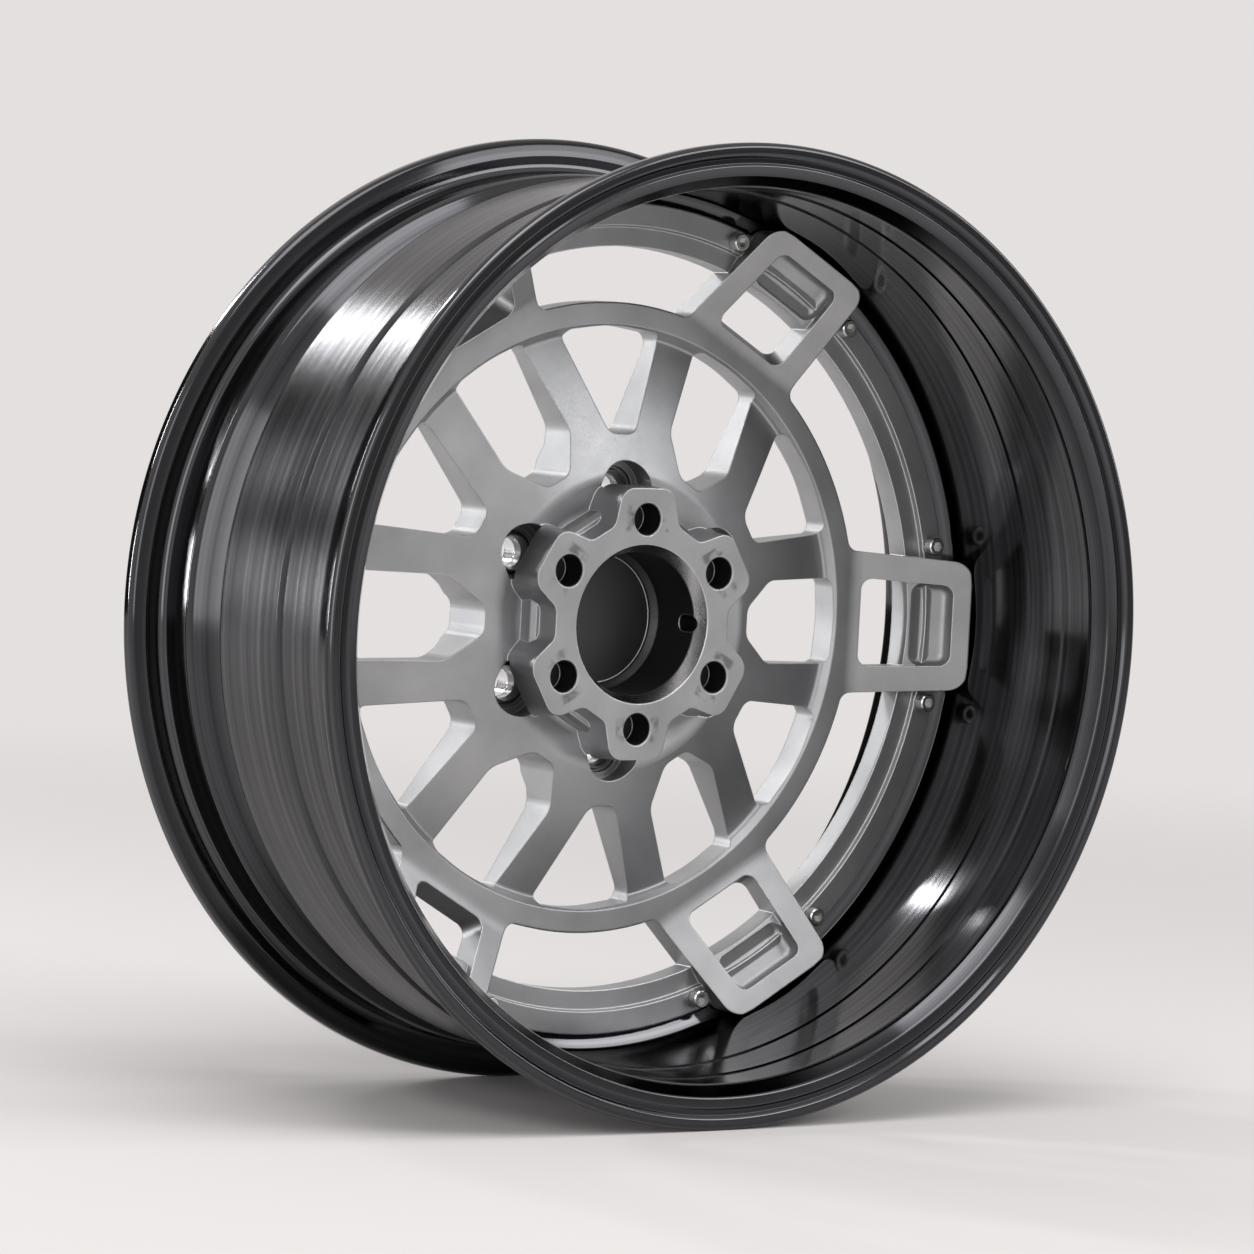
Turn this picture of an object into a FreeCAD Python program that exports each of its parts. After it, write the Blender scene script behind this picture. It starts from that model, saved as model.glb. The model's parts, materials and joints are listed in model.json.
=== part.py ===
"""Two-piece deep-lip car wheel.

The axis is Y, the street side is -Y and up is Z.  The origin is on the axis at the rim's mid-width.
Sections are drawn as (radius, y) and plans as (x, z), each corner with its own rounding.
"""
import math
import os

import FreeCAD
import Part

V = FreeCAD.Vector
AXIS = V(0, 1, 0)
ORIGIN = V(0, 0, 0)

# Rim
rim_diameter = 462.0
rim_width = 177.8
flange_height = 17.5
flange_thick = 11.4
flange_lean = 2.6
flange_root = 9.0
flange_bead = 5.8
bead_seat = 20.0
bead_taper = 1.7
hump_height = 1.6
hump_width = 7.0
wall = 4.8
ledge_drop = 1.6
well_depth = 14.0
well_floor = 5.0
well_ramp = 11.0
band_end = -28.0
band_groove = 1.8
groove_width = 9.0
lip_step = 0.8
step_ramp = 1.4
outer_step_y = -67.0
inner_step_y = -39.0

# Bolted joint
joint_y = 40.0
joint_step = 7.6
joint_width = 23.0
joint_thick = 16.0
ledge_width = 10.0
ledge_depth = 2.6
barrel_flange = 11.0
bolt_inset = 7.0
bolt_angle = 11.6
bolt_diameter = 6.35
bolt_head = 9.53
bolt_head_height = 6.35
bolt_socket = 4.76
bolt_chamfer = 0.6
spot_depth = 0.5
spot_margin = 0.7

# Ring, spokes and mounting pad
pattern = 6
ring_outer = 165.0
ring_width = 14.5
ring_front = 35.5
ring_back = 53.0
ring_chamfer = 3.0
spoke_drop = 5.5
spoke_slope = 0.324
mount_y = 52.0
mount_pad = 88.0
mount_relief = 4.5
vee_start = 97.0
vee_tip = 8.0
vee_half = 32.0
wide_start = 82.5
wide_tip = 7.5
wide_knee = 101.0
wide_half = 23.0

# Hub
hub_bore = 87.1
hub_bore_depth = 8.0
front_bore = 74.6
bore_lip = 3.3
bore_lip_width = 5.0
bore_end = 3.6
bore_chamfer = 4.0
bore_chamfer_depth = 7.0
key_width = 8.8
key_length = 15.0
key_y = 9.5
key_depth = 12.0
neck_land = 4.7
groove_reach = 13.0
hub_groove_y = 20.5
crown_reach = 17.0
ear_front = -3.6
ear_circle = 108.6
ear_hole = 16.4
ear_hole_depth = 16.0
ear_chamfer = 0.6
ear_reach = 70.3
ear_half = 15.8
ear_corner = 9.0
valley_reach = 50.5
valley_half = 20.0
hub_flare = 2.5
pad_reach = 60.0
pad_half = 11.8
pad_front = 9.0
pad_bevel = 2.5

# Lug holes
lug_circle = 135.0
lug_hole = 15.0
lug_pocket = 32.0
lug_floor = 31.0
seat_outer = 21.7
seat_height = 10.0
seat_cone = 4.5
seat_land = 1.6
seat_groove = 1.7

# Frames between ring and flange
frame_setback = 2.1
frame_front = 7.5
frame_half = 38.5
frame_taper = 4.3
frame_corner = 10.0
frame_clearance = 1.0
frame_fillet = 7.0
frame_bend = 20.0
window_start = 3.0
window_rail = 14.5
window_end_rail = 10.0
window_taper = 3.0
window_corner = 6.0
tray_depth = 8.5
tray_ease = 0.8
tray_rim = 1.4
tray_rim_depth = 4.2

# Valve hole
valve_y = -53.0
valve_angle = 114.0
valve_hole = 11.5
valve_spot = 17.0
valve_spot_depth = 0.6

gap = 0.3

seat_radius = rim_diameter / 2
lip_radius = seat_radius + flange_height
half_width = rim_width / 2 + flange_thick
ledge = seat_radius - ledge_drop
inner_radius = ledge - wall
joint_radius = inner_radius - joint_step
joint_inner = joint_radius - joint_width
bolt_radius = joint_radius - bolt_inset
ring_inner = ring_outer - ring_width
bore_radius = front_bore / 2
lip_bore = bore_radius - bore_lip
hub_neck = bore_radius + bore_chamfer + neck_land
hub_groove = hub_neck + groove_reach
crown_radius = hub_groove + crown_reach
frame_end = inner_radius - frame_setback
tray_fillet = window_corner - tray_ease
flange_front = joint_y - joint_thick
barrel_back = joint_y + barrel_flange
step = 360.0 / pattern


def rounded(points, lift):
    """Closed wire through (u, v, rounding) corners, each placed in space by lift(u, v)."""
    count = len(points)
    ends = []
    for i, (u, v, r) in enumerate(points):
        pu, pv, _ = points[i - 1]
        nu, nv, _ = points[(i + 1) % count]
        a = V(pu - u, pv - v, 0)
        b = V(nu - u, nv - v, 0)
        here = V(u, v, 0)
        turn = a.getAngle(b)
        if r <= 0 or abs(turn - math.pi) < 1e-4:
            ends.append((here, None, here))
            continue
        room = 0.49 * min(a.Length, b.Length)
        back = min(r / math.tan(turn / 2), room)
        r = back * math.tan(turn / 2)
        a.normalize()
        b.normalize()
        inward = a + b
        inward.normalize()
        middle = here + inward * (r / math.sin(turn / 2) - r)
        ends.append((here + a * back, middle, here + b * back))
    edges = []
    for i, (start, middle, end) in enumerate(ends):
        if middle is not None:
            edges.append(Part.Arc(lift(start), lift(middle), lift(end)).toShape())
        following = ends[(i + 1) % count][0]
        if (following - end).Length > 1e-6:
            edges.append(Part.LineSegment(lift(end), lift(following)).toShape())
    return Part.Wire(edges)


def revolve(points):
    """Ring with the given (radius, y, rounding) section."""
    wire = rounded(points, lambda p: V(p.x, p.y, 0))
    return Part.Face(wire).revolve(ORIGIN, AXIS, 360)


def plate(points, front, back):
    """Slab with the given (x, z, rounding) plan, between two values of y."""
    wire = rounded(points, lambda p: V(p.x, front, p.y))
    return Part.Face(wire).extrude(V(0, back - front, 0))


def rail(points, half):
    """Bar across the X axis with the given (x, y, rounding) section, half wide each way in z."""
    wire = rounded(points, lambda p: V(p.x, p.y, -half))
    return Part.Face(wire).extrude(V(0, 0, 2 * half))


def cylinder(radius, front, back, x=0.0, z=0.0):
    return Part.makeCylinder(radius, back - front, V(x, front, z), AXIS)


def turned(shape, angle):
    """Copy of a shape, turned about the axle so that +X moves towards +Z."""
    copy = shape.copy()
    copy.rotate(ORIGIN, AXIS, -angle)
    return copy


def around(shape, start=0.0):
    return [turned(shape, start + step * k) for k in range(pattern)]


def polar(radius, angle):
    a = math.radians(angle)
    return radius * math.cos(a), radius * math.sin(a)


def hexagon(width, front, back):
    corner = width / 2 / math.cos(math.radians(30))
    points = [polar(corner, 60 * k) + (0,) for k in range(6)]
    return plate(points, front, back)


def spoke_front(radius):
    return ring_front + spoke_drop - spoke_slope * (ring_inner - radius)


bolt_places = [
    polar(bolt_radius, step * k + side * bolt_angle)
    for k in range(pattern)
    for side in (-1, 1)
]
bolt_hole = bolt_diameter / 2 + gap
spot_y = flange_front + spot_depth
slope_run = frame_end - ring_outer
slope_rise = ring_front - frame_front
slope = math.atan2(slope_rise, slope_run)
slope_length = math.hypot(slope_run, slope_rise)


def make_barrel():
    """Rim turned from one blank: lip, bead seats, drop well and the inner flange for the centre."""
    front = -half_width
    rear = half_width
    mouth = -rim_width / 2
    tail = rim_width / 2
    seat_end = seat_radius - bead_taper
    hump = seat_end + hump_height
    well_front = joint_y - 4
    well_rear = well_front + well_ramp + well_floor
    well_radius = ledge - well_depth
    first_bore = inner_radius + lip_step
    mouth_bore = first_bore + lip_step
    tail_bore = inner_radius - 0.4
    land = lip_radius - flange_bead
    profile = [
        (lip_radius, front, 4.0),
        (lip_radius, mouth - flange_lean, 4.5),
        (seat_radius + flange_root, mouth, 6.0),
        (seat_radius, mouth, 6.5),
        (seat_end, mouth + bead_seat, 1.0),
        (hump, mouth + bead_seat + hump_width / 3, 2.0),
        (ledge, mouth + bead_seat + hump_width, 2.0),
        (ledge, band_end, 0),
        (ledge - band_groove, band_end + 2, 0),
        (ledge - band_groove, band_end + groove_width - 3, 0),
        (ledge, band_end + groove_width, 1.0),
        (ledge, well_front, 4.0),
        (well_radius, well_front + well_ramp, 5.0),
        (well_radius, well_rear, 5.0),
        (ledge, well_rear + well_ramp, 4.0),
        (hump, tail - bead_seat - hump_width / 3, 2.0),
        (seat_end, tail - bead_seat, 1.0),
        (seat_radius, tail, 6.5),
        (seat_radius + flange_root, tail, 6.0),
        (lip_radius, tail + flange_lean, 4.5),
        (lip_radius, rear, 4.0),
        (land, rear, 2.5),
        (seat_radius + 4, rear - 4, 3.0),
        (seat_radius - wall, tail, 6.0),
        (tail_bore, tail - bead_seat, 8.0),
        (tail_bore, barrel_back + 13, 6.0),
        (well_radius - wall, barrel_back + 2, 3.0),
        (well_radius - wall - 1.5, barrel_back, 1.0),
        (joint_inner + 3 + 0.7 * barrel_flange, barrel_back, 1.0),
        (joint_inner + 3, joint_y, 0),
        (joint_radius + gap, joint_y, 0.8),
        (joint_radius + gap, flange_front + 4, 0.8),
        (inner_radius, flange_front, 1.5),
        (inner_radius, inner_step_y, 0),
        (first_bore, inner_step_y - step_ramp, 0),
        (first_bore, outer_step_y, 0),
        (mouth_bore, outer_step_y - step_ramp, 0),
        (mouth_bore, mouth - 1, 5.0),
        (seat_radius + 1, front + 2.3, 2.0),
        (land - 6, front + 1.0, 1.0),
        (land - 4.5, front + 2.0, 0.6),
        (land - 2, front + 2.0, 0.6),
        (land, front, 2.0),
    ]
    body = revolve(profile)
    cuts = [cylinder(bolt_hole, joint_y - 1, barrel_back + 1, x, z) for x, z in bolt_places]
    return body.cut(cuts + valve_cuts())


def valve_cuts():
    """Hole for the tyre's valve, with a flat at each end."""
    cuts = []
    inner_flat = inner_radius + lip_step + valve_spot_depth
    outer_flat = ledge - valve_spot_depth
    margin = 10.0
    for radius, near, far in (
        (valve_hole / 2, inner_flat - margin, outer_flat + margin),
        (valve_spot / 2, inner_flat - margin, inner_flat),
        (valve_spot / 2, outer_flat, outer_flat + margin),
    ):
        rod = Part.makeCylinder(radius, far - near, V(near, valve_y, 0), V(1, 0, 0))
        cuts.append(turned(rod, valve_angle))
    return cuts


def spoke_openings():
    """A rounded triangle at each lug and a rounded hexagon between each two."""
    front = ear_front
    back = ring_back + 1
    far = ring_inner + 1.5
    bow = 90.0
    triangle = [
        (vee_start, -vee_tip, 8.0),
        (vee_start, vee_tip, 8.0),
        (far - 3, vee_half, 5.0),
        (far + 1.5, 0, bow),
        (far - 3, -vee_half, 5.0),
    ]
    wide = [
        (wide_start, -wide_tip, 8.0),
        (wide_start, wide_tip, 8.0),
        (wide_knee, wide_half - 1, 12.0),
        (far - 1.5, wide_half, 5.0),
        (far + 0.5, 0, bow),
        (far - 1.5, -wide_half, 5.0),
        (wide_knee, 1 - wide_half, 12.0),
    ]
    return around(plate(triangle, front, back), step / 2) + around(plate(wide, front, back))


def hub_plan(grow):
    """Plan of the raised hub: six rounded ears at the lug angles, with hollows between."""
    points = []
    foot = valley_reach + grow
    tip = ear_reach + grow / 2
    for k in range(pattern):
        middle = step * (k + 0.5)
        for reach, half, rounding in (
            (foot, -valley_half - grow, 7.0),
            (tip, -ear_half - grow, ear_corner),
            (tip, ear_half + grow, ear_corner),
            (foot, valley_half + grow, 7.0),
        ):
            angle = middle + math.degrees(math.atan2(half, reach))
            points.append(polar(math.hypot(half, reach), angle) + (rounding,))
    return points


def hub_body():
    """Ears and hub ring, flared towards the disc."""
    base = spoke_front(lug_circle / 2) + 8
    front = rounded(hub_plan(0), lambda p: V(p.x, ear_front, p.y))
    rear = rounded(hub_plan(hub_flare), lambda p: V(p.x, base, p.y))
    return Part.makeLoft([front, rear], True, True)


def hub_pads():
    """Bevelled pads in the hollows between the ears."""
    root = hub_bore / 2 - 3
    back = lug_floor
    plan = [
        (root, 2 - pad_half, 0),
        (pad_reach, -pad_half, 1.5),
        (pad_reach, pad_half, 1.5),
        (root, pad_half - 2, 0),
    ]
    section = [
        (root, pad_front, 0),
        (pad_reach - pad_bevel, pad_front, 0),
        (pad_reach, pad_front + pad_bevel, 0),
        (pad_reach, back, 0),
        (root, back, 0),
    ]
    return around(plate(plan, ear_front, back).common(rail(section, pad_half)))


def disc():
    """Hub, spoke web and ring before they are pierced."""
    lip_back = mount_y - hub_bore_depth
    lip_front = lip_back - bore_lip_width
    shoulder = ring_inner - 1.5
    profile = [
        (bore_radius, ear_front + bore_chamfer_depth, 0),
        (bore_radius + bore_chamfer, ear_front, 0.6),
        (hub_neck, ear_front, 0),
        (hub_neck, pad_front - 1, 0),
        (hub_neck + 6, pad_front + 1, 4.0),
        (hub_groove, hub_groove_y, 7.0),
        (crown_radius, spoke_front(crown_radius), 10.0),
        (shoulder, spoke_front(shoulder), 3.5),
        (ring_inner, ring_front + ring_chamfer, 0.6),
        (ring_inner + ring_chamfer, ring_front, 0.6),
        (ring_outer, ring_front, 1.0),
        (ring_outer, ring_back, 1.5),
        (ring_inner - 1, ring_back, 3.0),
        (ring_inner - 6, ring_back - 2, 4.0),
        (mount_pad + 7, mount_y - mount_relief, 4.0),
        (mount_pad, mount_y, 2.0),
        (hub_bore / 2, mount_y, 1.0),
        (hub_bore / 2, lip_back, 0),
        (lip_bore, lip_back, 0),
        (lip_bore, lip_front, 0.8),
        (bore_radius, lip_front - 3.5, 0.8),
    ]
    web = cylinder(lip_bore + 1, lip_back - bore_end, lip_back)
    return revolve(profile).fuse(web)


def on_slope(shape):
    """Shape drawn on a flat frame, laid on the frame's slope from the ring."""
    shape.rotate(ORIGIN, V(0, 0, 1), -math.degrees(slope))
    shape.translate(V(ring_outer, ring_front, 0))
    return shape


def window(start, end, depth, corner):
    """Cutter of the frame's window between two distances down the slope, to a depth below its face."""
    clear = 40.0
    half = frame_half - window_rail
    narrow = half - window_taper
    share = (start / slope_length, end / slope_length)
    near, far = (half + (narrow - half) * s for s in share)
    plan = [(start, -near, corner), (end, -far, corner), (end, far, corner), (start, near, corner)]
    return plate(plan, -clear, depth)


def tray():
    """Cutter of the milled floor in the window's outer half, round at its foot."""
    inset = joint_inner + tray_rim - ring_outer - tray_rim_depth * math.sin(slope)
    tool = window(inset / math.cos(slope), slope_length - window_end_rail, tray_depth, window_corner)
    foot = [e for e in tool.Edges if all(abs(v.Point.y - tray_depth) < 1e-6 for v in e.Vertexes)]
    return tool.makeFillet(tray_fillet, foot)


def frame():
    """One frame: a sloping slab from ring to flange, with its window and tray."""
    root = ring_inner + ring_chamfer + 0.5
    end_half = frame_half - frame_taper
    flare = frame_half + frame_fillet + 3
    ring_at_side = math.sqrt(ring_outer ** 2 - frame_half ** 2) - 0.5
    ring_at_flare = math.sqrt(ring_outer ** 2 - flare ** 2) - 0.5
    half_plan = [
        (root, flare, 0),
        (ring_at_flare, flare, 0),
        (ring_at_side, frame_half, frame_fillet),
        (frame_end, end_half, frame_corner),
    ]
    plan = half_plan + [(x, -z, r) for x, z, r in reversed(half_plan)]
    over = frame_end + 4
    section = [
        (root, ring_front, 0),
        (ring_outer, ring_front, frame_bend),
        (over, ring_front - slope_rise * (over - ring_outer) / slope_run, 1.5),
        (over, flange_front - 2, 0),
        (joint_radius - 1, flange_front + 2, 0),
        (joint_inner + 6, joint_y, 0),
        (joint_inner - 3, joint_y, 5.0),
        (ring_outer, ring_back - 2, 8.0),
        (root, ring_back - 2, 0),
    ]
    body = plate(plan, 0, ring_back).common(rail(section, flare + 1))
    body = body.common(cylinder(inner_radius - frame_clearance, -5, ring_back + 5))
    through = 80.0
    start = window_start / math.cos(slope)
    end = slope_length - window_end_rail
    hole = on_slope(window(start, end, through, window_corner))
    hole = hole.common(cylinder(joint_inner, -half_width, half_width))
    front = on_slope(window(start, end, tray_rim_depth, window_corner))
    return body.cut([hole, front, on_slope(tray())])


def key_slot():
    """Rounded slot into the bore's wall, on the +X side."""
    half = key_width / 2
    reach = key_length / 2 - half
    points = [
        (key_y - reach - half, -half, half),
        (key_y + reach + half, -half, half),
        (key_y + reach + half, half, half),
        (key_y - reach - half, half, half),
    ]
    wire = rounded(points, lambda p: V(bore_radius - 3, p.x, p.y))
    return Part.Face(wire).extrude(V(key_depth + 3, 0, 0))


def make_centre():
    body = disc().fuse([hub_body()] + hub_pads())
    body = body.cut(cylinder(bore_radius, ear_front - 1, mount_y - hub_bore_depth - bore_lip_width - 4))
    chamfer_slope = bore_chamfer / bore_chamfer_depth
    chamfer_mouth = bore_radius + bore_chamfer + chamfer_slope
    body = body.cut(Part.makeCone(
        chamfer_mouth, bore_radius, bore_chamfer_depth + 1, V(0, ear_front - 1, 0), AXIS))
    body = body.cut(spoke_openings())
    flange = revolve([
        (joint_inner, flange_front + ledge_depth, 0),
        (joint_inner + ledge_width, flange_front + ledge_depth, 0),
        (joint_inner + ledge_width + 0.8, flange_front, 0),
        (joint_radius, flange_front, 0.8),
        (joint_radius, joint_y, 1.2),
        (joint_inner, joint_y, 0),
    ])
    body = body.fuse([flange] + around(frame()))
    cuts = [key_slot()]
    for x, z in bolt_places:
        cuts.append(cylinder(bolt_hole, spot_y - 1, joint_y + 1, x, z))
        cuts.append(cylinder(bolt_head / 2 + spot_margin, -half_width, spot_y, x, z))
    for k in range(pattern):
        angle = step * (k + 0.5)
        x, z = polar(lug_circle / 2, angle)
        rim = seat_outer / 2
        cuts.append(cylinder(lug_pocket / 2, ear_front + ear_hole_depth + 3, lug_floor, x, z))
        cuts.append(cylinder(rim + seat_groove, lug_floor - 1, lug_floor + 3, x, z))
        cuts.append(cylinder(rim + gap, lug_floor - 1, lug_floor + 1 + seat_height, x, z))
        cuts.append(cylinder(lug_hole / 2, lug_floor, mount_y + 1, x, z))
        x, z = polar(ear_circle / 2, angle)
        hole = ear_hole / 2
        cuts.append(cylinder(hole, ear_front - 1, ear_front + ear_hole_depth, x, z))
        cuts.append(Part.makeCone(
            hole + ear_chamfer + 1, hole, ear_chamfer + 1, V(x, ear_front - 1, z), AXIS))
    return body.cut(cuts).removeSplitter()


def make_bolts():
    bolts = []
    top = spot_y - bolt_head_height
    for x, z in bolt_places:
        rim = Part.makeCone(bolt_head / 2 - bolt_chamfer, bolt_head / 2, bolt_chamfer, V(x, top, z), AXIS)
        head = cylinder(bolt_head / 2, top + bolt_chamfer, spot_y, x, z).fuse(rim)
        shank = cylinder(bolt_diameter / 2, spot_y, barrel_back - 1, x, z)
        socket = hexagon(bolt_socket, top - 1, top + bolt_head_height / 2)
        socket.translate(V(x, 0, z))
        bolts.append(head.fuse(shank).cut(socket).removeSplitter())
    return Part.Compound(bolts)


def make_seat(angle):
    """Steel ring with a conical nut seat."""
    top = lug_floor + 1
    hole = lug_hole / 2
    rim = seat_outer / 2
    ring = revolve([
        (hole, top + seat_cone, 0.3),
        (rim - seat_land, top, 0.4),
        (rim, top, 0.5),
        (rim, top + seat_height, 0.5),
        (hole, top + seat_height, 0.5),
    ])
    x, z = polar(lug_circle / 2, angle)
    ring.translate(V(x, 0, z))
    return ring


def main():
    nodes = {"barrel": make_barrel(), "wheel_centre": make_centre(), "rim_bolts": make_bolts()}
    for k in range(pattern):
        nodes["lug_seat_%d" % (k + 1)] = make_seat(step * (k + 0.5))
    os.makedirs("parts", exist_ok=True)
    for name, shape in nodes.items():
        shape.exportStep(os.path.join("parts", name + ".step"))
        box = shape.BoundBox
        print(name, len(shape.Solids), shape.isValid(), round(shape.Volume / 1000, 1),
              [round(v, 1) for v in (box.XMin, box.YMin, box.ZMin, box.XMax, box.YMax, box.ZMax)])


main()
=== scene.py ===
import json
import math

import bmesh
import bpy
from mathutils import Matrix, Vector


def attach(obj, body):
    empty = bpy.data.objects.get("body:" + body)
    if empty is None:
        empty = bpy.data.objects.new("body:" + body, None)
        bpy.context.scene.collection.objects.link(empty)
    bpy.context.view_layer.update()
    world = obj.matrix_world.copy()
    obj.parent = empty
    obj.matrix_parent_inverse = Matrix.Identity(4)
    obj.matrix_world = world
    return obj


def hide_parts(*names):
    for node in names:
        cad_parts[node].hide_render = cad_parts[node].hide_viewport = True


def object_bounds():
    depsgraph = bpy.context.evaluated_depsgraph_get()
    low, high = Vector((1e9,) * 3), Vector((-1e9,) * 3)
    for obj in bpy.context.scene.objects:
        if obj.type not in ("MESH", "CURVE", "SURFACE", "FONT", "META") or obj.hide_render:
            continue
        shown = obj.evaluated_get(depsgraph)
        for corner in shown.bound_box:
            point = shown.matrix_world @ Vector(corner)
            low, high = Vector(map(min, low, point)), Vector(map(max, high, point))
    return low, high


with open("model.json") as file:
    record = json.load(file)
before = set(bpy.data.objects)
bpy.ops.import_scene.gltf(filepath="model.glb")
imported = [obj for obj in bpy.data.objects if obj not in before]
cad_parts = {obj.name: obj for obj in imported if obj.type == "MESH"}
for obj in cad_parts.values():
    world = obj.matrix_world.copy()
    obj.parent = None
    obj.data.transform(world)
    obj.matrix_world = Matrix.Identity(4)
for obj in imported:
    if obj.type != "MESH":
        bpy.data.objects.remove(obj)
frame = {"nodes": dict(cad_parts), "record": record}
cad_box = [list(corner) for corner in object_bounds()]

MM = 0.001

# The photograph's camera, found from the two rim flanges and the bolt circles
CAMERA_AZIMUTH = -34.74
CAMERA_ELEVATION = 3.41
CAMERA_ROLL = 3.04
CAMERA_DISTANCE = 2997.6 * MM
CAMERA_TARGET = Vector((12.3, 28.1, -3.7)) * MM
CAMERA_LENS = 165.13

BACKDROP = "#E4E0DF"

# The rim as built, in mm: radii from the axle, and places along it with the street side negative
SEAT_RADIUS = 231.0
RIM_WIDTH = 177.8
FLANGE_HEIGHT = 17.5
FLANGE_THICK = 11.4
FLANGE_LEAN = 2.6
FLANGE_ROOT = 9.0
FLANGE_BEAD = 5.8
BEAD_SEAT = 20.0
BEAD_TAPER = 1.7
HUMP_HEIGHT = 1.6
HUMP_WIDTH = 7.0
WALL = 4.8
LEDGE_DROP = 1.6
WELL_DEPTH = 14.0
WELL_FLOOR = 5.0
WELL_RAMP = 11.0
WELL_LEAD = 4.0
BAND_END = -28.0
BAND_GROOVE = 1.8
GROOVE_WIDTH = 9.0
LIP_STEP = 0.8
STEP_RAMP = 1.4
OUTER_STEP = -67.0
INNER_STEP = -39.0
TAIL_STEP = 0.4

# The flange that takes the centre, with its holes, and the valve's hole with its two flats
JOINT_PLACE = 40.0
JOINT_STEP = 7.6
JOINT_WIDTH = 23.0
JOINT_THICK = 16.0
JOINT_GAP = 0.3
BARREL_FLANGE = 11.0
BOLT_INSET = 7.0
BOLT_ANGLE = 11.6
BOLT_HOLE = 3.475
VALVE_PLACE = -53.0
VALVE_ANGLE = 114.0
VALVE_HOLE = 5.75
VALVE_FLAT = 8.5
FLAT_DEPTH = 0.6

# The hub's two hole circles in mm, with the same six sectors as the bolts
SECTORS = 6
EAR_RADIUS = 54.3
LUG_RADIUS = 67.5

LEDGE = SEAT_RADIUS - LEDGE_DROP
BORE = LEDGE - WALL
JOINT_RADIUS = BORE - JOINT_STEP
BOLT_RADIUS = JOINT_RADIUS - BOLT_INSET
BARREL_BACK = JOINT_PLACE + BARREL_FLANGE


def linear(hex_colour):
    """Linear RGBA of an sRGB hex colour."""
    channels = []
    for i in (1, 3, 5):
        c = int(hex_colour[i:i + 2], 16) / 255
        channels.append(c / 12.92 if c <= 0.04045 else ((c + 0.055) / 1.055) ** 2.4)
    return (*channels, 1.0)


def add(tree, kind, inputs=None, **settings):
    """Adds a node, sets its properties, and fills each input with a value, a socket or a node's result."""
    node = tree.nodes.new(kind)
    for name, value in settings.items():
        setattr(node, name, value)
    for name, value in (inputs or {}).items():
        if isinstance(value, bpy.types.Node):
            value = next(socket for socket in value.outputs if socket.enabled)
        if isinstance(value, bpy.types.NodeSocket):
            tree.links.new(value, node.inputs[name])
        else:
            node.inputs[name].default_value = value
    return node


def blank_material(name):
    material = bpy.data.materials.new(name)
    material.use_nodes = True
    material.node_tree.nodes.clear()
    return material, material.node_tree


def axle_coordinates(tree):
    """Place on the object, radius from the axle, and position along it, in metres."""
    place = add(tree, "ShaderNodeTexCoord").outputs["Object"]
    split = add(tree, "ShaderNodeSeparateXYZ", {"Vector": place})
    flat = add(tree, "ShaderNodeCombineXYZ", {"X": split.outputs["X"], "Z": split.outputs["Z"]})
    radius = add(tree, "ShaderNodeVectorMath", {0: flat}, operation="LENGTH")
    return place, radius, split.outputs["Y"]


def sector_coordinates(tree, place, radius, circle):
    """How far out from a hole on a circle, how far across, and how far away, alike in all six sectors."""
    split = add(tree, "ShaderNodeSeparateXYZ", {"Vector": place})
    angle = add(
        tree, "ShaderNodeMath", {0: split.outputs["Z"], 1: split.outputs["X"]}, operation="ARCTAN2")
    sector = 2 * math.pi / SECTORS
    folded = add(tree, "ShaderNodeMath", {0: angle, 1: 0.0, 2: sector}, operation="WRAP")
    local = add(tree, "ShaderNodeMath", {0: folded, 1: sector / 2}, operation="SUBTRACT")
    cosine = add(tree, "ShaderNodeMath", {0: local}, operation="COSINE")
    sine = add(tree, "ShaderNodeMath", {0: local}, operation="SINE")
    out = add(
        tree, "ShaderNodeMath", {0: radius, 1: cosine, 2: -circle * MM}, operation="MULTIPLY_ADD")
    across = add(tree, "ShaderNodeMath", {0: radius, 1: sine}, operation="MULTIPLY")
    flat = add(tree, "ShaderNodeCombineXYZ", {"X": out, "Y": across})
    distance = add(tree, "ShaderNodeVectorMath", {0: flat}, operation="LENGTH")
    return out, across, distance


def within(tree, value, limits, soft):
    """1 where a value lies between two limits in mm, falling to 0 over a soft edge."""
    low, high = (limit * MM for limit in limits)
    rise = add(tree, "ShaderNodeMapRange", {
        "Value": value, "From Min": low - soft * MM, "From Max": low}, interpolation_type="SMOOTHSTEP")
    fall = add(tree, "ShaderNodeMapRange", {
        "Value": value, "From Min": high, "From Max": high + soft * MM, "To Min": 1.0, "To Max": 0.0},
        interpolation_type="SMOOTHSTEP")
    return add(tree, "ShaderNodeMath", {0: rise, 1: fall}, operation="MULTIPLY")


def zone(tree, first, first_limits, second, second_limits, soft=(0.4, 0.4)):
    """1 where two values both lie within their limits."""
    return add(tree, "ShaderNodeMath", {
        0: within(tree, first, first_limits, soft[0]),
        1: within(tree, second, second_limits, soft[1])}, operation="MULTIPLY")


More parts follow.
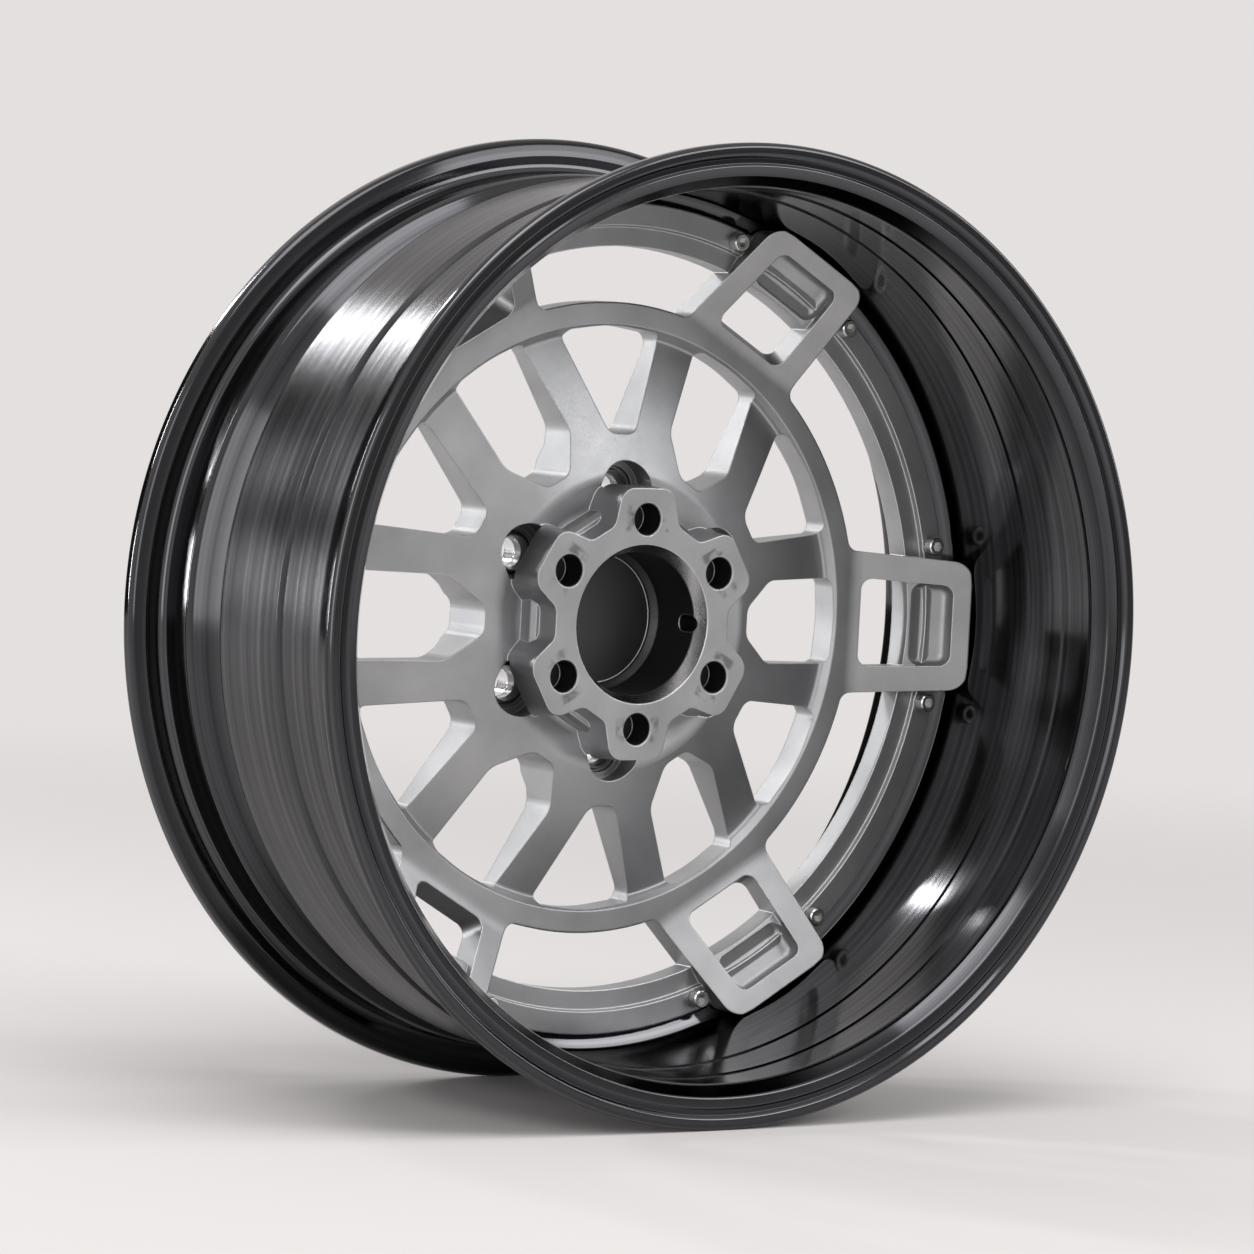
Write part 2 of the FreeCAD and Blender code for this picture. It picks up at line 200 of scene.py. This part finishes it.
def smoked_spun_aluminium():
    """Spun aluminium under a dark tint: a near-black mirror in the lip, a slightly greyer brushed drum
    outside, and turned bands and lines round the axle that draw each reflection out into streaks."""
    material, tree = blank_material("spun_aluminium_smoked")
    place, radius, along = axle_coordinates(tree)
    line_spacing = 0.9 * MM
    # Bands are drawn about three times coarser than the tool's feed, so that they show at this distance
    band_spacing = 3.4 * MM
    haze_size = 60 * MM
    outer_side = (226.6, 260)
    drum = zone(tree, radius, outer_side, along, (-58, 36), (0.4, 3))
    outside = zone(tree, radius, outer_side, along, (-86, 110), (0.4, 4))

    shrunk = add(tree, "ShaderNodeMath", {0: radius, 1: 0.3}, operation="MULTIPLY")
    rings = add(tree, "ShaderNodeCombineXYZ", {"X": shrunk, "Y": along})
    lines = add(tree, "ShaderNodeTexNoise", {
        "Vector": rings, "Scale": 1 / line_spacing, "Detail": 3.0, "Roughness": 0.6})
    bands = add(tree, "ShaderNodeTexNoise", {
        "Vector": rings, "Scale": 1 / band_spacing, "Detail": 2.0, "Roughness": 0.5})
    haze = add(tree, "ShaderNodeTexNoise", {"Vector": place, "Scale": 1 / haze_size, "Detail": 4.0})

    clear_bands = add(tree, "ShaderNodeMapRange", {"Value": bands, "From Min": 0.3, "From Max": 0.7})
    streak = add(tree, "ShaderNodeMath", {0: clear_bands, 1: lines}, operation="MULTIPLY")
    lip_tone = add(tree, "ShaderNodeMix", {
        "Factor": streak, "A": linear("#343436"), "B": linear("#6C6C6F")}, data_type="RGBA")
    drum_tone = add(tree, "ShaderNodeMix", {
        "Factor": streak, "A": linear("#38383A"), "B": linear("#727275")}, data_type="RGBA")
    tone = add(tree, "ShaderNodeMix", {"Factor": drum, "A": lip_tone, "B": drum_tone}, data_type="RGBA")

    polish = add(tree, "ShaderNodeMapRange", {
        "Value": haze, "From Min": 0.3, "From Max": 0.7, "To Min": 0.08, "To Max": 0.15})
    rough = add(tree, "ShaderNodeMath", {0: drum, 1: 0.11, 2: polish}, operation="MULTIPLY_ADD")
    depth = add(tree, "ShaderNodeMapRange", {
        "Value": outside, "To Min": 0.008 * MM, "To Max": 0.05 * MM})
    height = add(tree, "ShaderNodeMath", {0: lines, 1: 0.12, 2: bands}, operation="MULTIPLY_ADD")
    bump = add(tree, "ShaderNodeBump", {"Height": height, "Strength": 1.0, "Distance": depth})
    shader = add(tree, "ShaderNodeBsdfPrincipled", {
        "Base Color": tone, "Metallic": 1.0, "Roughness": rough, "Normal": bump})
    add(tree, "ShaderNodeOutputMaterial", {"Surface": shader})
    return material


def satin_forged_aluminium():
    """Forged aluminium, milled and finely blasted: a cool even grey with a soft grain, a painted highlight
    on the edges, painted shade in the bores, ear holes and key slot, bright turned walls and a little dark
    cutting oil beside the ear holes."""
    material, tree = blank_material("forged_aluminium_satin")
    place, radius, along = axle_coordinates(tree)
    # The grain is drawn several times coarser than the blasting grit, so that it shows at this distance
    grain_size = 0.8 * MM
    cloud_size = 45 * MM
    smear_size = 7 * MM
    edge_radius = 1.0 * MM

    grain = add(tree, "ShaderNodeTexNoise", {
        "Vector": place, "Scale": 1 / grain_size, "Detail": 2.0, "Roughness": 0.7})
    cloud = add(tree, "ShaderNodeTexNoise", {"Vector": place, "Scale": 1 / cloud_size, "Detail": 5.0})
    tone = add(tree, "ShaderNodeMapRange", {"Value": cloud, "From Min": 0.3, "From Max": 0.7})
    blasted = add(tree, "ShaderNodeMix", {
        "Factor": tone, "A": linear("#A0A1A3"), "B": linear("#B8B9BB")}, data_type="RGBA")
    blasted_rough = add(tree, "ShaderNodeMapRange", {
        "Value": grain, "From Min": 0.3, "From Max": 0.7, "To Min": 0.40, "To Max": 0.52})

    out, across, from_ear = sector_coordinates(tree, place, radius, EAR_RADIUS)
    ear_holes = zone(tree, from_ear, (0, 8.3), along, (-2.6, 14))
    front_bore = zone(tree, radius, (0, 38.5), along, (4.0, 43.6))
    key_slot = zone(tree, radius, (38.0, 52), along, (3.0, 17.5))
    bores = add(tree, "ShaderNodeMath", {0: ear_holes, 1: front_bore}, operation="MAXIMUM")
    bores = add(tree, "ShaderNodeMath", {0: bores, 1: key_slot}, operation="MAXIMUM")
    # Painted shade: the ear holes, the front bore and the key slot are painted dark grey for the shade that
    # falls in these hollows
    dark = add(tree, "ShaderNodeMath", {0: bores, 1: 0.9}, operation="MULTIPLY")

    side = add(tree, "ShaderNodeMath", {0: across}, operation="ABSOLUTE")
    beside_ear = zone(tree, side, (9.0, 12.5), out, (-4.5, 5.0), (1.5, 3))
    on_face = within(tree, along, (-5, -3.2), 0.4)
    smear = add(tree, "ShaderNodeTexNoise", {"Vector": place, "Scale": 1 / smear_size, "Detail": 3.0})
    patch = add(tree, "ShaderNodeMapRange", {
        "Value": smear, "From Min": 0.42, "From Max": 0.58, "To Max": 0.55})
    oil = add(tree, "ShaderNodeMath", {0: beside_ear, 1: on_face}, operation="MULTIPLY")
    oil = add(tree, "ShaderNodeMath", {0: oil, 1: patch}, operation="MULTIPLY")
    # Holds both the painted shade of the hollows and the dark cutting oil beside the ear holes, mixed to
    # one dark grey
    shade = add(tree, "ShaderNodeMath", {0: dark, 1: oil}, operation="MAXIMUM")
    shaded = add(tree, "ShaderNodeMix", {
        "Factor": shade, "A": blasted, "B": linear("#3C3C3E")}, data_type="RGBA")

    bore_chamfer = zone(tree, radius, (37.2, 41.6), along, (-3.4, 3.3), (0.1, 0.1))
    from_lug = sector_coordinates(tree, place, radius, LUG_RADIUS)[-1]
    lug_wall = zone(tree, from_lug, (0, 7.9), along, (40, 52))
    machined = add(tree, "ShaderNodeMath", {0: bore_chamfer, 1: lug_wall}, operation="MAXIMUM")
    worked = add(tree, "ShaderNodeMix", {
        "Factor": machined, "A": shaded, "B": linear("#E4E4E5")}, data_type="RGBA")
    rough = add(tree, "ShaderNodeMath", {0: machined, 1: -0.26, 2: blasted_rough}, operation="MULTIPLY_ADD")
    grain_share = add(tree, "ShaderNodeMath", {0: machined, 1: -0.24, 2: 0.25}, operation="MULTIPLY_ADD")

    edges = add(tree, "ShaderNodeBevel", {"Radius": edge_radius}, samples=8)
    plain_normal = add(tree, "ShaderNodeNewGeometry").outputs["Normal"]
    bend = add(tree, "ShaderNodeVectorMath", {0: edges, 1: plain_normal}, operation="DOT_PRODUCT")
    # Painted highlight: the colour goes near white where the rounded edge's normal bends away from the face
    painted_edge_highlight = add(tree, "ShaderNodeMapRange", {
        "Value": bend, "From Min": 0.86, "From Max": 0.995, "To Min": 0.9, "To Max": 0.0})
    base = add(tree, "ShaderNodeMix", {
        "Factor": painted_edge_highlight, "A": worked, "B": linear("#F2F2F2")}, data_type="RGBA")
    bump = add(tree, "ShaderNodeBump", {
        "Height": grain, "Strength": grain_share, "Distance": 0.02 * MM, "Normal": edges})
    shader = add(tree, "ShaderNodeBsdfPrincipled", {
        "Base Color": base, "Metallic": 1.0, "Roughness": rough, "Normal": bump})
    add(tree, "ShaderNodeOutputMaterial", {"Surface": shader})
    return material


def turned_steel(name, dark, pale, roughness):
    """Small turned steel pieces: plain metal with a fine mottle of tool marks and rounded edges."""
    material, tree = blank_material(name)
    # The marks are drawn about three times coarser than the tool leaves them, so that they show
    mark_size = 0.5 * MM
    edge_radius = 0.3 * MM
    place = add(tree, "ShaderNodeTexCoord").outputs["Object"]
    marks = add(tree, "ShaderNodeTexNoise", {
        "Vector": place, "Scale": 1 / mark_size, "Detail": 3.0, "Roughness": 0.6})
    base = add(tree, "ShaderNodeMix", {
        "Factor": marks, "A": linear(dark), "B": linear(pale)}, data_type="RGBA")
    rough = add(tree, "ShaderNodeMapRange", {
        "Value": marks, "To Min": roughness - 0.06, "To Max": roughness + 0.06})
    edges = add(tree, "ShaderNodeBevel", {"Radius": edge_radius}, samples=4)
    bump = add(tree, "ShaderNodeBump", {
        "Height": marks, "Strength": 0.2, "Distance": 0.02 * MM, "Normal": edges})
    shader = add(tree, "ShaderNodeBsdfPrincipled", {
        "Base Color": base, "Metallic": 1.0, "Roughness": rough, "Normal": bump})
    add(tree, "ShaderNodeOutputMaterial", {"Surface": shader})
    return material


def rim_section():
    """Corners of the rim's section as radius, place along the axle and rounding, from the street flange
    over the drum and well to the inner flange, and back through the bore and the lip."""
    lip_radius = SEAT_RADIUS + FLANGE_HEIGHT
    mouth = -RIM_WIDTH / 2
    tail = RIM_WIDTH / 2
    front = mouth - FLANGE_THICK
    rear = tail + FLANGE_THICK
    seat_end = SEAT_RADIUS - BEAD_TAPER
    hump = seat_end + HUMP_HEIGHT
    well_front = JOINT_PLACE - WELL_LEAD
    well_rear = well_front + WELL_RAMP + WELL_FLOOR
    well_radius = LEDGE - WELL_DEPTH
    first_bore = BORE + LIP_STEP
    mouth_bore = first_bore + LIP_STEP
    tail_bore = BORE - TAIL_STEP
    land = lip_radius - FLANGE_BEAD
    joint_inner = JOINT_RADIUS - JOINT_WIDTH
    joint_front = JOINT_PLACE - JOINT_THICK
    return [
        (lip_radius, front, 4.0),
        (lip_radius, mouth - FLANGE_LEAN, 4.5),
        (SEAT_RADIUS + FLANGE_ROOT, mouth, 6.0),
        (SEAT_RADIUS, mouth, 6.5),
        (seat_end, mouth + BEAD_SEAT, 1.0),
        (hump, mouth + BEAD_SEAT + HUMP_WIDTH / 3, 2.0),
        (LEDGE, mouth + BEAD_SEAT + HUMP_WIDTH, 2.0),
        (LEDGE, BAND_END, 0.0),
        (LEDGE - BAND_GROOVE, BAND_END + 2, 0.0),
        (LEDGE - BAND_GROOVE, BAND_END + GROOVE_WIDTH - 3, 0.0),
        (LEDGE, BAND_END + GROOVE_WIDTH, 1.0),
        (LEDGE, well_front, 4.0),
        (well_radius, well_front + WELL_RAMP, 5.0),
        (well_radius, well_rear, 5.0),
        (LEDGE, well_rear + WELL_RAMP, 4.0),
        (hump, tail - BEAD_SEAT - HUMP_WIDTH / 3, 2.0),
        (seat_end, tail - BEAD_SEAT, 1.0),
        (SEAT_RADIUS, tail, 6.5),
        (SEAT_RADIUS + FLANGE_ROOT, tail, 6.0),
        (lip_radius, tail + FLANGE_LEAN, 4.5),
        (lip_radius, rear, 4.0),
        (land, rear, 2.5),
        (SEAT_RADIUS + 4, rear - 4, 3.0),
        (SEAT_RADIUS - WALL, tail, 6.0),
        (tail_bore, tail - BEAD_SEAT, 8.0),
        (tail_bore, BARREL_BACK + 13, 6.0),
        (well_radius - WALL, BARREL_BACK + 2, 3.0),
        (well_radius - WALL - 1.5, BARREL_BACK, 1.0),
        (joint_inner + 3 + 0.7 * BARREL_FLANGE, BARREL_BACK, 1.0),
        (joint_inner + 3, JOINT_PLACE, 0.0),
        (JOINT_RADIUS + JOINT_GAP, JOINT_PLACE, 0.8),
        (JOINT_RADIUS + JOINT_GAP, joint_front + 4, 0.8),
        (BORE, joint_front, 1.5),
        (BORE, INNER_STEP, 0.0),
        (first_bore, INNER_STEP - STEP_RAMP, 0.0),
        (first_bore, OUTER_STEP, 0.0),
        (mouth_bore, OUTER_STEP - STEP_RAMP, 0.0),
        (mouth_bore, mouth - 1, 5.0),
        (SEAT_RADIUS + 1, front + 2.3, 2.0),
        (land - 6, front + 1, 1.0),
        (land - 4.5, front + 2, 0.6),
        (land - 2, front + 2, 0.6),
        (land, front, 2.0),
    ]


def rounded(corners):
    """Points of a closed section, each corner a fine arc with a short lead into each straight."""
    lead = 0.25
    arc_step = math.radians(11)
    points = []
    count = len(corners)
    for i, (radius, along, rounding) in enumerate(corners):
        here = Vector((radius, along))
        to_last = Vector(corners[i - 1][:2]) - here
        to_next = Vector(corners[(i + 1) % count][:2]) - here
        half = to_last.angle(to_next) / 2
        room = 0.49 * min(to_last.length, to_next.length)
        back = min(rounding / math.tan(half), room)
        last = to_last.normalized()
        following = to_next.normalized()
        points.append(here + last * min(back + lead, room))
        if rounding > 0:
            arc_radius = back * math.tan(half)
            centre = here + (last + following).normalized() * (arc_radius / math.sin(half))
            start = here + last * back - centre
            sweep = start.angle_signed(here + following * back - centre)
            steps = max(2, math.ceil(abs(sweep) / arc_step))
            for k in range(steps + 1):
                points.append(centre + Matrix.Rotation(-sweep * k / steps, 2) @ start)
        else:
            points.append(here)
        points.append(here + following * min(back + lead, room))
    return points


def polar(radius, along, angle):
    """Point in metres from a radius and a place along the axle in mm and an angle in degrees."""
    a = math.radians(angle)
    return Vector((radius * math.cos(a), along, radius * math.sin(a))) * MM


def bolt_holes():
    """Rods of the screw holes: radius and two ends, two holes beside each frame."""
    rods = []
    for k in range(SECTORS):
        for side in (-1, 1):
            angle = 360 / SECTORS * k + side * BOLT_ANGLE
            start = polar(BOLT_RADIUS, JOINT_PLACE - 1, angle)
            rods.append((BOLT_HOLE, start, polar(BOLT_RADIUS, BARREL_BACK + 1, angle)))
    return rods


def valve_holes():
    """Rods of the valve's hole, and of the flats at its two ends."""
    margin = 10.0
    inner_flat = BORE + LIP_STEP + FLAT_DEPTH
    outer_flat = LEDGE - FLAT_DEPTH
    inside, inner, outer, outside = (
        polar(radius, VALVE_PLACE, VALVE_ANGLE)
        for radius in (inner_flat - margin, inner_flat, outer_flat, outer_flat + margin))
    return [(VALVE_HOLE, inside, outside)], [(VALVE_FLAT, inside, inner), (VALVE_FLAT, outer, outside)]


def drill(piece, rods):
    """Cuts round holes through a piece."""
    mesh = bpy.data.meshes.new("drills")
    shape = bmesh.new()
    for radius, start, end in rods:
        turn = (end - start).to_track_quat("Z", "Y").to_matrix().to_4x4()
        bmesh.ops.create_cone(
            shape, cap_ends=True, segments=40, radius1=radius * MM, radius2=radius * MM,
            depth=(end - start).length, matrix=Matrix.Translation((start + end) / 2) @ turn)
    shape.to_mesh(mesh)
    shape.free()
    drills = bpy.data.objects.new("drills", mesh)
    bpy.context.collection.objects.link(drills)
    cut = piece.modifiers.new("holes", "BOOLEAN")
    cut.operation = "DIFFERENCE"
    cut.solver = "EXACT"
    cut.object = drills
    graph = bpy.context.evaluated_depsgraph_get()
    piece.data = bpy.data.meshes.new_from_object(piece.evaluated_get(graph))
    piece.modifiers.clear()
    bpy.data.objects.remove(drills)


def turned_rim(finish):
    """The rim turned again as one fine ring, so that its polish reflects without facets, then drilled."""
    around = 288
    sharp_angle = math.radians(25)
    section = rounded(rim_section())
    rows = len(section)
    vertices = []
    faces = []
    for k in range(around):
        angle = 2 * math.pi * k / around
        c = math.cos(angle) * MM
        s = math.sin(angle) * MM
        vertices += [(p.x * c, p.y * MM, p.x * s) for p in section]
        near = k * rows
        far = (k + 1) % around * rows
        for i in range(rows):
            j = (i + 1) % rows
            faces.append((near + i, near + j, far + j, far + i))
    mesh = bpy.data.meshes.new("rim_turned")
    mesh.from_pydata(vertices, [], faces)
    shape = bmesh.new()
    shape.from_mesh(mesh)
    bmesh.ops.recalc_face_normals(shape, faces=shape.faces)
    shape.to_mesh(mesh)
    shape.free()
    rim = bpy.data.objects.new("rim_turned", mesh)
    bpy.context.collection.objects.link(rim)
    valve_hole, valve_flats = valve_holes()
    drill(rim, bolt_holes() + valve_hole)
    drill(rim, valve_flats)
    rim.data.polygons.foreach_set("use_smooth", [True] * len(rim.data.polygons))
    rim.data.set_sharp_from_angle(angle=sharp_angle)
    rim.data.materials.append(finish)
    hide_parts("barrel")
    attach(rim, "root")


def dress():
    """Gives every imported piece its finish, by its material slot, and turns the fine rim."""
    finish = {
        "barrel": smoked_spun_aluminium(),
        "centre": satin_forged_aluminium(),
        "bolt": turned_steel("stainless_steel_turned", "#B4B4B3", "#DADAD8", 0.2),
        "seat": turned_steel("carbon_steel_turned", "#6C6C6C", "#8A8A89", 0.32),
    }
    for part in frame["record"]["subparts"]:
        slots = frame["nodes"][part["node"]].data.materials
        slots.clear()
        slots.append(finish[part["material_slot"]])
    turned_rim(finish["barrel"])


def rectangle(name, width, height, material):
    mesh = bpy.data.meshes.new(name)
    corners = [(sx * width / 2, sy * height / 2, 0) for sx, sy in ((-1, -1), (1, -1), (1, 1), (-1, 1))]
    mesh.from_pydata(corners, [], [(0, 1, 2, 3)])
    mesh.materials.append(material)
    sheet = bpy.data.objects.new(name, mesh)
    bpy.context.collection.objects.link(sheet)
    return sheet


def studio_paper():
    """Matt pale studio paper, which runs into the backdrop without a seam."""
    fade_start = 0.72
    fade_end = 2.4
    material, tree = blank_material("studio_paper")
    place = add(tree, "ShaderNodeTexCoord").outputs["Object"]
    far = add(tree, "ShaderNodeVectorMath", {0: place}, operation="LENGTH")
    fade = add(tree, "ShaderNodeMapRange", {
        "Value": far, "From Min": fade_start, "From Max": fade_end}, interpolation_type="SMOOTHSTEP")
    paper = add(tree, "ShaderNodeBsdfDiffuse", {"Color": linear(BACKDROP)})
    sky = add(tree, "ShaderNodeEmission", {"Color": linear(BACKDROP), "Strength": 1.0})
    mix = add(tree, "ShaderNodeMixShader", {"Fac": fade, 1: paper, 2: sky})
    add(tree, "ShaderNodeOutputMaterial", {"Surface": mix})
    return material


def floor(height):
    width = 12.0
    rectangle("studio_floor", width, width, studio_paper()).location = (0, 0, height)


def softbox(name, place, aim, width, height, watts):
    lamp = bpy.data.lights.new(name, "AREA")
    lamp.shape = "RECTANGLE"
    lamp.size = width
    lamp.size_y = height
    lamp.energy = watts
    box = bpy.data.objects.new(name, lamp)
    box.location = place
    box.rotation_mode = "QUATERNION"
    box.rotation_quaternion = (Vector(aim) - Vector(place)).to_track_quat("-Z", "Y")
    box.visible_camera = False
    bpy.context.collection.objects.link(box)


def painted_card(width, height, tone):
    """Card painted an even grey, fading out to its edges, so that it has no outline in the metal."""
    material, tree = blank_material("card_painted")
    place = add(tree, "ShaderNodeTexCoord").outputs["Object"]
    shrunk = add(tree, "ShaderNodeVectorMath", {
        0: place, 1: (2 / width, 2 / height, 0.0)}, operation="MULTIPLY")
    out = add(tree, "ShaderNodeVectorMath", {0: shrunk}, operation="LENGTH")
    fade = add(tree, "ShaderNodeMapRange", {
        "Value": out, "From Min": 0.55, "From Max": 1.0}, interpolation_type="SMOOTHSTEP")
    paint = add(tree, "ShaderNodeEmission", {"Color": linear(tone)})
    clear = add(tree, "ShaderNodeBsdfTransparent")
    mix = add(tree, "ShaderNodeMixShader", {"Fac": fade, 1: paint, 2: clear})
    add(tree, "ShaderNodeOutputMaterial", {"Surface": mix})
    return material


def grey_card(name, place, width, height, tone):
    """Grey studio card facing the wheel and seen only in the metal."""
    card = rectangle(name, width, height, painted_card(width, height, tone))
    card.location = place
    card.rotation_mode = "QUATERNION"
    card.rotation_quaternion = Vector(place).to_track_quat("Z", "Y")
    card.visible_camera = False
    card.visible_diffuse = False
    card.visible_transmission = False
    card.visible_shadow = False


def backdrop():
    """The world is the plain backdrop to the eye and in metal, and a soft fill to everything else."""
    fill_strength = 0.46
    world = bpy.data.worlds.new("studio")
    bpy.context.scene.world = world
    world.use_nodes = True
    tree = world.node_tree
    tree.nodes.clear()
    path = add(tree, "ShaderNodeLightPath").outputs
    seen = add(tree, "ShaderNodeMath", {
        0: path["Is Camera Ray"], 1: path["Is Transmission Ray"]}, operation="MAXIMUM")
    seen = add(tree, "ShaderNodeMath", {0: seen, 1: path["Is Glossy Ray"]}, operation="MAXIMUM")
    fill = add(tree, "ShaderNodeBackground", {"Color": linear("#FFFFFF"), "Strength": fill_strength})
    plain = add(tree, "ShaderNodeBackground", {"Color": linear(BACKDROP), "Strength": 1.0})
    mix = add(tree, "ShaderNodeMixShader", {"Fac": seen, 1: fill, 2: plain})
    add(tree, "ShaderNodeOutputWorld", {"Surface": mix})


def camera():
    a, e, roll = (math.radians(v) for v in (CAMERA_AZIMUTH, CAMERA_ELEVATION, CAMERA_ROLL))
    back = Vector((math.sin(a) * math.cos(e), -math.cos(a) * math.cos(e), math.sin(e)))
    level = Vector((math.cos(a), math.sin(a), 0))
    upright = back.cross(level)
    right = level * math.cos(roll) + upright * math.sin(roll)
    up = upright * math.cos(roll) - level * math.sin(roll)
    data = bpy.data.cameras.new("photo_camera")
    data.lens = CAMERA_LENS
    data.sensor_width = 36.0
    eye = bpy.data.objects.new("photo_camera", data)
    turn = Matrix((right, up, back)).transposed().to_4x4()
    eye.matrix_world = Matrix.Translation(CAMERA_TARGET + back * CAMERA_DISTANCE) @ turn
    bpy.context.collection.objects.link(eye)
    bpy.context.scene.camera = eye


dress()
floor(cad_box[0][2])
backdrop()
softbox("top_box", (-0.5, -0.8, 2.2), (0, 0, 0), 1.6, 1.3, 24)
softbox("front_box", (1.5, -1.9, 1.3), (0, 0, 0), 1.1, 1.1, 18)
softbox("front_left_box", (-2.2, -1.65, 0.75), (0, 0, 0.75), 1.0, 2.0, 13)
softbox("rear_left_strip", (-1.75, 1.75, 0.12), (0, 0, 0), 0.1, 0.45, 10)
softbox("rear_mid_strip", (-1.5, 1.65, 0.95), (0, 0, 0), 0.1, 0.5, 10)
softbox("rear_high_strip", (-0.45, 2.1, 1.35), (0, 0, 0), 0.12, 0.5, 7)
softbox("right_strip", (2.4, -0.9, 0.9), (0, 0, 0), 0.25, 1.4, 10)
grey_card("front_right_card", (1.9, -2.9, 0.1), 6.0, 5.0, "#A4A4A4")
grey_card("rear_left_card", (-1.1, 2.8, 0.45), 4.4, 3.4, "#383838")
camera()
bpy.context.scene.view_settings.view_transform = "Standard"
